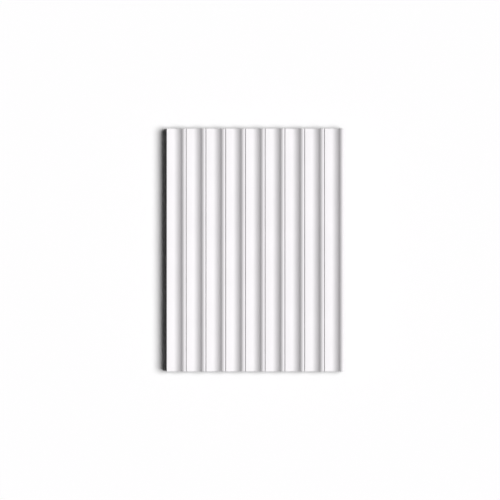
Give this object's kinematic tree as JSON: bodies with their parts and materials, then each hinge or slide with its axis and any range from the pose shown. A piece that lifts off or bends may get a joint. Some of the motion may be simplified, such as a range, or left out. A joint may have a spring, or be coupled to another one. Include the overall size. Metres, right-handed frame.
{
  "type": "fluted wall panel",
  "caption": "Flat-backed white wall panel whose face is hollow flutes with slim rounded beads and fine grooves between them, to cover a wall.",
  "frame": {"origin": "middle of the flat back, which lies on the floor", "axes": "+Y along the flutes, +X across them from a flute's lip to its bead, +Z out of the fluted face"},
  "size_m": [0.15, 0.2056, 0.012],
  "materials": {
    "panel_white": "smooth white foamed polystyrene, matte with a faint sheen, ready for paint"
  },
  "bodies": {
    "root": {"fluted_panel": "panel_white"}
  },
  "joints": []
}
